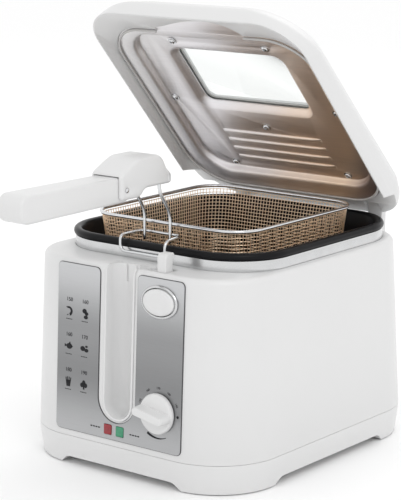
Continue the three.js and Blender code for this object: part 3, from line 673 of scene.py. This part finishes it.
def make_channel():
    """The trough for the folded handle: a lip on the face and a round-bottomed hollow."""
    half, floor_r = CHANNEL["half"] - CHANNEL["wall"], CHANNEL["floor_r"]
    points, faces = front_prism(channel_outline(CHANNEL["half"]), -160, -116)
    trough = mesh_object("handle_trough", points, faces, HOUSING)
    lip = body_loft([(1.2, PARTING_Z), (1.2, 168), (0.9, 171.5), (-0.6, 174), (-3, SHELF_Z - 0.1)])
    combine(trough, [lip], HOUSING, "INTERSECT")
    loops = []
    for a in arc_angles(0, 90, 8):
        inset = floor_r * (1 - math.cos(a))
        y = floor_r * math.sin(a) - floor_r - 118.5
        loops.append([(x, y, z) for x, z in channel_outline(half - inset)])
    mouth = [(x, -161, z) for x, z in channel_outline(half)]
    combine(trough, [skin([mouth, *loops])], HOUSING)
    notches = [box_mesh(x - 0.8, x + 0.8, -120.5, -117.3, 160, 180) for x in (-5, 5)]
    combine(trough, notches, HOUSING)
    soften(trough, 0.45)
    finish_piece(trough, "housing", "white_plastic", ["handle_channel"])


def panel_gap(grow):
    """The gap for the trough between the two columns, its top corners opening outwards."""
    left, right = PANEL_GAP["left"] + grow, PANEL_GAP["right"] - grow
    half, middle = (right - left) / 2, (right + left) / 2
    r, high = PANEL["r"], PANEL["high"]
    bottom = [(middle + half * math.cos(a), PANEL_GAP["low"] + grow + half + half * math.sin(a))
              for a in arc_angles(180, 360, 24)]
    reach, centre_z = r + grow, high - r
    centre_right, centre_left = PANEL_GAP["right"] + r, PANEL_GAP["left"] - r
    rise = [(centre_right + reach * math.cos(a), centre_z + reach * math.sin(a))
            for a in arc_angles(180, 90, 6)]
    fall = [(centre_left + reach * math.cos(a), centre_z + reach * math.sin(a))
            for a in arc_angles(90, 0, 6)]
    return [*bottom, *rise, (centre_right, high + 6), (centre_left, high + 6), *fall]


def panel_sheet(name, grow, inner, outer):
    """A sheet over the front face, between two offsets from the housing's skin."""
    sheet = mesh_object(name, *body_loft([(outer, PARTING_Z), (outer, SHELF_Z)]), HOUSING)
    inside = body_loft([(inner, PARTING_Z - 1), (inner, SHELF_Z + 1)])
    combine(sheet, [inside], HOUSING)
    edges = PANEL["left"] - grow, PANEL["right"] + grow, PANEL["low"] - grow, PANEL["high"] + grow
    outline = front_prism(rounded_box(*edges, PANEL["r"] + grow), -160, -100)
    combine(sheet, [outline], HOUSING, "INTERSECT")
    combine(sheet, [front_prism(panel_gap(grow), -160, -100)], HOUSING)
    for shape, matrix in face_cutters():
        combine(sheet, [shape], matrix)
    return sheet


def make_panel():
    sheet = panel_sheet("front_panel", 0, 0.3, 1.0)
    soften(sheet, 0.15, segments=1)
    finish_piece(sheet, "housing", "silver_panel", ["control_panel"])
    edge = panel_sheet("panel_outline", 0.45, 0.1, 0.6)
    finish_piece(edge, "housing", "black_plastic", material=OUTLINE)


def make_pot():
    wall = [(0, 167), (0, 183.6), (-4.8, 183.6), (-4.8, 182.6), (-1.2, 182.6), (-1.2, 167)]
    points, faces = loft(RING, wall, ring=True, steps=24)
    ring = mesh_object("pot_ring", points, faces, HOUSING)
    soften(ring, 0.25)
    finish_piece(ring, "housing", "bright_steel", ["trim_ring"], RING_STEEL)

    r = 3.6
    roll = [(1.3 - r + r * math.cos(a), RIM_Z - r + r * math.sin(a)) for a in arc_angles(-30, 165, 14)]
    inside = [(-7.5, SHELF_Z), (-12, 89), (-14.5, 81), (-19, 76), (-25, 74.3), (-34, 74)]
    outside = [(-33, 72.5), (-22, 73.4), (-15, 78), (-10.5, 88), (-6, SHELF_Z), (-5.6, 183.9)]
    points, faces = loft(RING, [*outside, *roll, *inside], steps=24)
    pot = mesh_object("fryer_pot", points, faces, HOUSING)
    soften(pot, 0)
    finish_piece(pot, "housing", "black_enamel", ["oil_pot"])


# ---- controls ----


def spun(profile, steps):
    """Profile points are (radius, height), turned about z."""
    angles = arc_angles(0, 360 - 360 / steps, steps - 1)
    return skin([[(r * math.cos(a), r * math.sin(a), z) for a in angles] for r, z in profile])


def make_dial():
    place = face_frame(*KNOB_AT)
    profile = [(0.1, 1.5), (16.2, 1.5), (16.6, 2), (16.6, 4.2), (15.9, 5.4), (14.4, 6.1), (0.1, 6.3)]
    knob = mesh_object("dial", *spun(profile, 60), place)
    wing = rounded_box(-16.2, 16.2, -4.4, 4.4, 3.6)
    narrow = rounded_box(-15.4, 15.4, -3.6, 3.6, 3.2)
    bar = skin([[(x, y, 5) for x, y in wing], [(x, y, 15.5) for x, y in narrow],
                [(x * 0.975, y * 0.86, 16.7) for x, y in narrow]])
    combine(knob, [turned(bar, Matrix.Rotation(math.radians(170), 4, "Z"))], place, "UNION")
    shaft = prism(ellipse(0, 0, 3, 3, 24), -13, 2)
    combine(knob, [shaft], place, "UNION")
    soften(knob, 0.5, segments=3)
    finish_piece(knob, "knob", "white_plastic", ["thermostat_knob"])


def make_button():
    place = face_frame(*BUTTON_AT)
    profile = [(0.55, 1.3), (2.6, 1.3), (2.7, 2.1), (2.2, 2.9), (1.5, 3.2), (0.8, 2.9), (0.55, 2.3)]
    loops = [[(x, y, z) for x, y in ellipse(0, 0, BUTTON_RX + offset, BUTTON_RY + offset, 72)]
             for offset, z in profile]
    bezel = mesh_object("button_ring", *skin(loops, ring=True), place)
    soften(bezel, 0)
    finish_piece(bezel, "housing", "silver_panel", ["button_bezel"], RING_STEEL)
    profile = [(1, -4), (1, 2.9), (0.985, 3.5), (0.95, 4.0), (0.88, 4.45), (0.6, 4.9), (0.2, 5.1)]
    loops = [[(x, y, z) for x, y in ellipse(0, 0, BUTTON_RX * share, BUTTON_RY * share, 72)]
             for share, z in profile]
    cap = mesh_object("release_cap", *skin(loops), place)
    combine(cap, [prism(ellipse(0, 0, 2.5, 2.5, 24), -10, -3)], place, "UNION")
    soften(cap, 0)
    finish_piece(cap, "button", "white_plastic", ["release_button"])


def make_lamps_and_catch():
    for name, x in LAMP_AT.items():
        outline = rounded_box(-3.9, 3.9, -4.1, 4.1, 0.9)
        shape = skin([
            [(px, py, -6) for px, py in outline],
            [(px, py, 1.4) for px, py in outline],
            [(px * 0.9, py * 0.92, 1.9) for px, py in outline],
        ])
        lamp = mesh_object(name + "_lens", *shape, face_frame(x, LAMP_Z))
        soften(lamp, 0.15)
        finish_piece(lamp, "housing", "red_lens" if x < 0 else "green_lens", [name])

    hook = [(-128, 165.5), (-119, 165.5), (-119, 184), (-116, 186), (-117.5, 190), (-126, 190),
            (-128, 187)]
    catch = turned(prism(rounded_outline(hook, 1.2, 3), 33.5, 42.5), SIDE_VIEW)
    catch = mesh_object("catch_hook", *catch, HOUSING)
    soften(catch, 0.8, segments=3)
    finish_piece(catch, "catch", "white_plastic", ["lid_catch"])


# ---- printing on the panel: plain pictures of food, numbers and dial marks ----


def ink(shapes):
    """Flat outlines as thin raised prints."""
    return [prism(shape, 1.0, 1.14) for shape in shapes]


def stroke(points, width):
    """A line of even width through points, as an outline."""
    left, right = [], []
    for i, p in enumerate(points):
        a = Vector(points[max(i - 1, 0)])
        b = Vector(points[min(i + 1, len(points) - 1)])
        along = (b - a).normalized()
        side = Vector((-along.y, along.x)) * width / 2
        left.append(tuple(Vector(p) + side))
        right.append(tuple(Vector(p) - side))
    return right + left[::-1]


def arc_band(x, y, r, start, end, thin, thick, steps=20):
    """A band along an arc that swells from thin to thick."""
    outer, inner = [], []
    for i, a in enumerate(arc_angles(start, end, steps)):
        half = (thin + (thick - thin) * i / steps) / 2
        outer.append((x + (r + half) * math.cos(a), y + (r + half) * math.sin(a)))
        inner.append((x + (r - half) * math.cos(a), y + (r - half) * math.sin(a)))
    return outer + inner[::-1]


def drumstick():
    return [ellipse(-0.6, 2.2, 2.3, 2, 24), ellipse(1.6, 0.2, 1.9, 1.5, 24),
            ellipse(0.9, -2.8, 2.2, 1.6, 24)]


def prawn():
    return [arc_band(-0.8, 0, 3, -70, 110, 2.4, 1.5), stroke([(-1.6, 2.6), (-3.2, 3.3)], 1),
            stroke([(-1.2, -3), (-2.6, -3.6)], 0.7)]


def fish():
    return [ellipse(0.4, 0, 3.1, 2.4, 24), [(-2, 0.3), (-4.6, 1.6), (-4.6, -1.2)],
            [(-0.6, 2), (1.2, 3.9), (1.8, 1.8)], [(2.6, 0.6), (4.6, 0.2), (2.8, -1.2)]]


def cutlet():
    return [ellipse(-1.8, 0.2, 2.6, 2.1, 24), ellipse(2.1, -0.9, 2.2, 1.6, 24),
            ellipse(2.2, 2.3, 1.4, 0.9, 16)]


def chips():
    sticks = [stroke([(x, -1), (x * 1.35, 4.2 - abs(x) * 0.4)], 0.8) for x in (-2, -0.7, 0.7, 2)]
    return [[(-1.9, -4.2), (1.9, -4.2), (2.7, 1.2), (-2.7, 1.2)], *sticks]


def onion():
    return [ellipse(-1.9, -0.6, 1.9, 2, 24), ellipse(1.9, -0.6, 1.9, 2, 24), ellipse(0, 1.6, 1.7, 2, 24),
            [(-0.5, -0.5), (0.5, -0.5), (0.9, -4.2), (-0.9, -4.2)]]


LEFT_X, RIGHT_X = -53.4, -36.4
ROW_Z = (131.2, 101.8, 72)


def dashes(length, height=0.5):
    """A short broken line, for the place of a caption."""
    step = length / 4
    return [[(u, -height), (u + step * 0.7, -height), (u + step * 0.7, height), (u, height)]
            for u in (i * step - length / 2 for i in range(4))]


def make_prints():
    pictures = [(LEFT_X, ROW_Z[0], prawn), (RIGHT_X, ROW_Z[0], drumstick), (LEFT_X, ROW_Z[1], fish),
                (RIGHT_X, ROW_Z[1], cutlet), (LEFT_X, ROW_Z[2], chips), (RIGHT_X, ROW_Z[2], onion)]
    parts = [(ink(draw()), face_frame(x, z)) for x, z, draw in pictures]
    parts += [(ink(dashes(7, 0.3)), face_frame(x, z - 6.6)) for x, z, _ in pictures]
    for middle in (-22.5, 19.5):
        parts.append((ink(dashes(11, 0.5)), face_frame(middle, LAMP_Z)))
    x, z = KNOB_AT
    marks = [arc_band(0, 0, 20.6, 294, 238, 0.5, 2.2), ellipse(19.6, 0.2, 1.1, 1.1, 20)]
    parts.append((ink(marks), face_frame(x, z)))
    points, faces = [], []
    for shapes, matrix in parts:
        for shape_points, shape_faces in shapes:
            start = len(points)
            points += [matrix @ Vector(p) for p in shape_points]
            faces += [tuple(start + i for i in face) for face in shape_faces]
    prints = mesh_object("panel_prints", points, faces, Matrix.Identity(4))
    finish_piece(prints, "housing", "black_plastic", material=INK)

    top, middle, bottom = (z + 9.8 for z in ROW_Z)
    numbers = [(LEFT_X, top, "150"), (RIGHT_X, top, "160"), (LEFT_X, middle, "160"),
               (RIGHT_X, middle, "170"), (LEFT_X, bottom, "180"), (RIGHT_X, bottom, "190")]
    for i, (x, z, text) in enumerate(numbers):
        print_number(f"panel_number_{i + 1}", text, 4.6, face_frame(x, z))
    dial = [(160, "150"), (124, "160"), (92, "170"), (60, "180"), (28, "190")]
    for i, (angle, text) in enumerate(dial):
        turn = Matrix.Rotation(math.radians(angle - 90), 4, "Z") @ Matrix.Translation((0, 20.4, 0))
        print_number(f"dial_number_{i + 1}", text, 2.6, face_frame(*KNOB_AT) @ turn)


def print_number(name, text, size, place):
    curve = bpy.data.curves.new(name, "FONT")
    curve.body = text
    curve.size = size
    curve.extrude = 0.06
    curve.align_x = "CENTER"
    curve.align_y = "CENTER"
    number = from_curve(name, curve)
    number.data.transform(place @ Matrix.Translation((0, 0, 1.08)))
    finish_piece(number, "housing", "black_plastic", material=INK)


# ---- lid ----

# distances from the hinge axis, and for the screws x as well
VENTS = (50, 58, 66, 74)
LOUVRES = (79.6, 68, 56.3, 44.7)
SCREWS = [(-49, 196), (49, 196), (-86.5, 120.5), (86.5, 120.5), (0, 92), (-61, 36.5), (61, 36.5)]


def lid_outside():
    """The loops of the lid's outside, each level blended into the next."""
    steps, reach, levels = 5, 0.42, []
    for offset, z, ease, start, slope in LID_LEVELS:
        outline = grown(LID, offset)
        outline["r"] = LID["r"] + offset + ease
        level = [Vector((x, y, z - slope * max(-y - start, 0))) for x, y, _ in loop(outline, z, 24)]
        levels.append(level)
    loops = [levels[0]]
    for before, here, after in zip(levels, levels[1:], levels[2:]):
        for k in range(steps + 1):
            loops.append([
                curve_between(b.lerp(a, reach), b, b.lerp(c, reach), k / steps)
                for a, b, c in zip(before, here, after)
            ])
    return [*loops, levels[-1]]


def vent_slots():
    return [prism(rounded_box(-38, 38, -s - 1.5, -s + 1.5, 1.4, 3), 0, 20) for s in VENTS]


def make_vent_cover():
    cover = prism(rounded_box(-56, 56, -92, -36, 8), 10.3, 12.6)
    cover = mesh_object("vent_cover", *cover, LID_FRAME)
    combine(cover, vent_slots(), LID_FRAME)
    soften(cover, 0.8, segments=3)
    finish_piece(cover, "lid", "white_plastic", ["filter_cover"])


def make_lid_shell():
    shell = mesh_object("lid_cover", *skin(lid_outside()), LID_FRAME)
    under = skin([
        loop(grown(LID, -1.4), SKIRT_LOW - 0.2, 24),
        loop(grown(LINER, 0.4), -15.2, 24),
        loop(grown(LINER, 0.4), -12.4, 24),
    ])
    hollow = loft(LINER, [(-3, -13), (-4, -8), (-10, -1), (-16, 4), (-22, 7.2)])
    below = SKIRT_LOW - 5
    arch = prism(arch_outline_in_lid(), below, ARCH_TOP)
    rear = box_mesh(-120, 120, -14, 20, below, -8)
    slant = [(-44, below), (20, below), (20, -13.2), (-30, -13.2)]
    rim_room = turned(prism(slant, -120, 120), SIDE_VIEW)
    notches = [box_mesh(x - 7.5, x + 7.5, -7.2, 20, below, 6.9) for x in (-HINGE_X, HINGE_X)]
    pins = [cross_pin(0, 0, PIN_HOLE_R, x, 11.8) for x in (-HINGE_X, HINGE_X)]
    opening = loft(WINDOW, [(0.4, 0), (0.4, 20)])
    cuts = [under, hollow, arch, rear, rim_room, *notches, *pins, opening, *vent_slots()]
    combine(shell, cuts, LID_FRAME)
    soften(shell, 0.6, segments=2, angle=40)
    finish_piece(shell, "lid", "white_plastic", ["lid_shell"])


def make_lid_seal_and_window():
    bead = [(-1.8 + 1.1 * math.cos(a), -15.9 + 1.1 * math.sin(a)) for a in arc_angles(0, 330, 11)]
    seal = mesh_object("lid_bead", *loft(LINER, bead, ring=True), LID_FRAME)
    combine(seal, [box_mesh(-46, 45.5, -250, -214, -20, -12)], LID_FRAME)
    soften(seal, 0)
    finish_piece(seal, "lid", "silicone", ["lid_seal"])

    pane = mesh_object("window_pane", *loft(WINDOW, [(3.5, 2.3), (3.5, 5.3)]), LID_FRAME)
    soften(pane, 0.3)
    finish_piece(pane, "lid", "window_glass", ["window_glass"])


def make_liner():
    """The pressed metal inside of the lid: sloped flange, step, window collar and louvres."""
    thick = 0.8
    flange = [(0, -14.8), (0, -14), (-11.5, -9.7), (-12.6, -9), (-13, -7.5), (-13.4, -4.8),
              (-14.6, -3.2)]
    points, faces = loft(LINER, flange, steps=24)
    plate = mesh_object("lid_pan", points, faces, LID_FRAME)
    collar = loft(WINDOW, [(6 + thick, -4), (5, -2.6), (1.6, 1), (0.5 + thick, 2)])
    combine(plate, [collar], LID_FRAME, "UNION")
    under = [(-0.6, -15), (-11.2, -10.9), (-13, -10), (-13.9, -8.4), (-14.3, -5.4), (-15.4, -4)]
    pan = loft(LINER, under, steps=24)
    recess = loft(WINDOW, [(7.5, -4.6), (6, -3.6), (4.4, -2.9), (1.2, 0.6), (0.8, 1.2)])
    through = loft(WINDOW, [(0.3, -10), (0.3, 10)])
    slots = [prism(rounded_box(-50, 50, -s + 0.9, -s + 1.7, 0.35, 2), -6, -2) for s in LOUVRES]
    combine(plate, [pan, recess, through, *slots], LID_FRAME)
    holes = [prism(ellipse(x, -s, 1.8, 1.8, 16), -14, 2) for x, s in SCREWS]
    combine(plate, holes, LID_FRAME)
    soften(plate, 0.25)
    finish_piece(plate, "lid", "liner_metal", ["lid_liner"])
    half, width, height = 53, 2.5, 1.9
    for i, s in enumerate(LOUVRES):
        loops = []
        for k in range(33):
            x = -half * math.cos(math.pi * k / 32)
            swell = 0.02 + math.sqrt(max(0, 1 - (abs(x) / half) ** 8))
            loops.append([
                (x, -s - 0.8 + width * math.cos(a), -3.9 - height * swell * max(math.sin(a), 0))
                for a in arc_angles(0, 180, 12)
            ])
        louvre = mesh_object(f"louvre_{i + 1}", *skin(loops), LID_FRAME)
        soften(louvre, 0, angle=60)
        finish_piece(louvre, "lid", "liner_metal")


def arch_outline_in_lid(inset=0, nearest=0):
    """The arch in the lid's rim, drawn in by an inset and cut off towards the hinge."""
    shape = [(x - math.copysign(inset, x - ARCH_MIDDLE_X), -max(s - inset, nearest))
             for x, s in STEAM_ARCH]
    return rounded_outline(shape, 6)[::-1]


def make_arch_lining():
    """The metal of the lid's pan carried on under the arch."""
    front_edge = LINER["d"] / 2 - LINER["y"] - 0.45
    lining = prism(arch_outline_in_lid(0.4, front_edge), ARCH_TOP - 1.1, ARCH_TOP - 0.3)
    lining = mesh_object("arch_lining", *lining, LID_FRAME)
    soften(lining, 0.2)
    finish_piece(lining, "lid", "liner_metal")


def make_screws():
    """Pan heads with a cross recess, a washer under each."""
    profile = [(1.5, 6), (1.5, 0.1), (3.9, 0.1), (3.9, -0.4), (2.9, -0.5), (2.8, -1.1), (2.2, -1.7),
               (1, -1.95), (0.1, -2)]
    long, thin = 1.5, 0.35
    cross = [box_mesh(-w, w, -d, d, -3, -1.2) for w, d in ((long, thin), (thin, long))]
    for i, (x, s) in enumerate(SCREWS):
        turn = Matrix.Rotation(math.radians(37 * i), 4, "Z")
        place = LID_FRAME @ Matrix.Translation((x, -s, -4.3)) @ turn
        screw = mesh_object(f"lid_screw_{i + 1}", *spun(profile, 24), place)
        combine(screw, cross, place)
        soften(screw, 0)
        finish_piece(screw, "lid", "bright_steel", [f"liner_screw_{i + 1}"])


# ---- basket and handle ----


def basket_level(z):
    """The basket's outline at height z: a steep side that rounds into the bottom."""
    profile = [(112, -22), (113, -18), (115, -14.5), (119, -11.5), (126, -9), (201, 0)]
    for (low, a), (high, b) in zip(profile, profile[1:]):
        if z <= high:
            return grown(BASKET, a + (b - a) * (z - low) / (high - low))
    return grown(BASKET, 0)


def even_loop(outline, z, spacing=None, count=None):
    """Points evenly spaced round an outline, by their spacing or their count."""
    fine = [Vector(p) for p in loop(outline, z, 24)]
    fine.append(fine[0])
    lengths = [0]
    for a, b in zip(fine, fine[1:]):
        lengths.append(lengths[-1] + (b - a).length)
    count = count or round(lengths[-1] / spacing)
    points, k = [], 0
    for i in range(count):
        target = lengths[-1] * i / count
        while lengths[k + 1] < target:
            k += 1
        t = (target - lengths[k]) / max(lengths[k + 1] - lengths[k], 1e-9)
        points.append(fine[k].lerp(fine[k + 1], t))
    return points


def make_basket_mesh():
    pitch, wire = 3.0, 0.33
    levels = [112.4, 113, 115, 119, 126, 150, 175, 201]
    count = len(even_loop(grown(BASKET, -6), 0, spacing=pitch))
    rows = [even_loop(basket_level(z), z, count=count) for z in levels]
    uprights = [[row[i] for row in rows] for i in range(count)]
    hoops = []
    z = 113.5
    while z < 201:
        hoops.append(even_loop(grown(basket_level(z), -0.55), z, count=96))
        z += pitch
    up = wires("basket_uprights", uprights, wire, HOUSING, sides=1)
    round_wires = wires("basket_hoops", hoops, wire, HOUSING, sides=1, closed=True)
    floor = basket_level(112)
    half_w, half_d, r = floor["w"] / 2, floor["d"] / 2, floor["r"]
    threads = []
    for across, half, reach in ((True, half_w, half_d), (False, half_d, half_w)):
        steps = int(2 * half / pitch)
        for i in range(1, steps):
            u = -half + 2 * half * i / steps
            over = max(0, abs(u) - (half - r))
            v = reach - r + math.sqrt(max(r * r - over * over, 0))
            lift = 112.2 if across else 112.8
            ends = [(u, -v, lift), (u, v, lift)] if across else [(-v, u, lift), (v, u, lift)]
            threads.append([(x, y + floor["y"], z) for x, y, z in ends])
    bottom = wires("basket_floor", threads, wire, HOUSING, sides=1)
    finish_piece(up, "basket", "bright_steel", ["basket_mesh"], MESH_WIRE)
    for thing in (round_wires, bottom):
        finish_piece(thing, "basket", "bright_steel", material=MESH_WIRE)


def make_basket_frame():
    rim_path = loop(grown(BASKET, 1), 203, 24)
    rim = wires("basket_frame", [rim_path], 1.5, HOUSING, sides=4, closed=True)
    finish_piece(rim, "basket", "bright_steel", ["basket_rim"])

    front = BASKET["y"] - BASKET["d"] / 2
    hook = bent([
        (18, front - 2, 194.4), (-21, front - 2, 194.4), (-24, -97, 193.8), (-23.5, -106, 193.8),
        (-23.5, -106, 181), (23.5, -106, 181), (23.5, -106, 193.8), (22, -88, 194.6),
    ], 6)
    hook = wires("rim_hook", [hook], 1.3, HOUSING)
    finish_piece(hook, "basket", "bright_steel", ["drain_hook"])
    for i, x in enumerate((-ARM_X, ARM_X)):
        route = [(x, -86.8, 188.5), (x, -86.8, 213), (x, ARM_TOP_Y, 234), (x, ARM_TOP_Y, 246)]
        arm = bent(route, 7)
        arm = wires(f"basket_arm_{i + 1}", [arm], 1.4, HOUSING)
        finish_piece(arm, "basket", "bright_steel", [f"handle_arm_{i + 1}"])


def make_handle_bracket():
    corners = [(-150, 232.5), (-126, 232.5), (-120, 239), (-87, 239), (-87, 247), (-93, 251.5),
               (-98, 260.5), (-103, 264), (-126, 264), (-133, 261.5), (-147, 254.5), (-150, 252)]
    shape = turned(prism(rounded_outline(corners, 4), -16, 16), SIDE_VIEW)
    bracket = mesh_object("handle_socket", *shape, HOUSING)
    soften(bracket, 2.6, segments=4, angle=50)
    slot = box_mesh(-13.15, 13.15, -160, -132.4, 220, 251.5)
    pin_hole = cross_pin(FOLD_Y, FOLD_Z, PIN_HOLE_R, 0, 20)
    arm_holes = [prism(ellipse(x, ARM_TOP_Y, 1.7, 1.7, 20), 230, 248) for x in (-ARM_X, ARM_X)]
    window = turned(prism(rounded_box(-93.5, -89, 241.5, 247, 0.8), 14.6, 20), SIDE_VIEW)
    combine(bracket, [slot, pin_hole, *arm_holes, window], HOUSING)
    soften(bracket, 0.35, angle=40)
    finish_piece(bracket, "basket", "white_plastic", ["handle_bracket"])
    pin = mesh_object("fold_pin", *cross_pin(FOLD_Y, FOLD_Z, 2, 0, 16.2), HOUSING)
    soften(pin, 0.3)
    finish_piece(pin, "basket", "bright_steel", ["handle_pin"])


def make_grip():
    tip, rear_half, tip_half, nose_r = -117, 10.2, 11.2, 9
    nose = [(tip + nose_r + nose_r * math.cos(a), tip_half - nose_r + nose_r * math.sin(a))
            for a in arc_angles(90, 180, 8)]
    belly = [(y, -z) for y, z in reversed(nose)]
    heel = [(rear_half * math.cos(a), rear_half * math.sin(a)) for a in arc_angles(-90, 90, 16)]
    outline = turned(prism([*heel, *nose, *belly], -12.75, 12.75), SIDE_VIEW)
    grip = mesh_object("folding_grip", *outline, GRIP_FRAME)
    soften(grip, 2.4, segments=4, angle=50)
    combine(grip, [cross_pin(0, 0, PIN_HOLE_R, 0, 20)], GRIP_FRAME)
    soften(grip, 0, angle=40)
    finish_piece(grip, "handle", "white_plastic", ["handle_grip"])


def paint_cad_nodes():
    """Every carried-over CAD node gets its slot's procedural material."""
    for part in frame["record"]["subparts"]:
        node = frame["nodes"][part["node"]]
        node.data.materials.clear()
        node.data.materials.append(MATERIALS[part["material_slot"]])


make_camera()
make_studio()
paint_cad_nodes()
make_housing()
make_base()
make_channel()
make_panel()
make_pot()
make_dial()
make_button()
make_lamps_and_catch()
make_prints()
make_lid_shell()
make_liner()
make_arch_lining()
make_lid_seal_and_window()
make_vent_cover()
make_screws()
make_basket_mesh()
make_basket_frame()
make_handle_bracket()
make_grip()
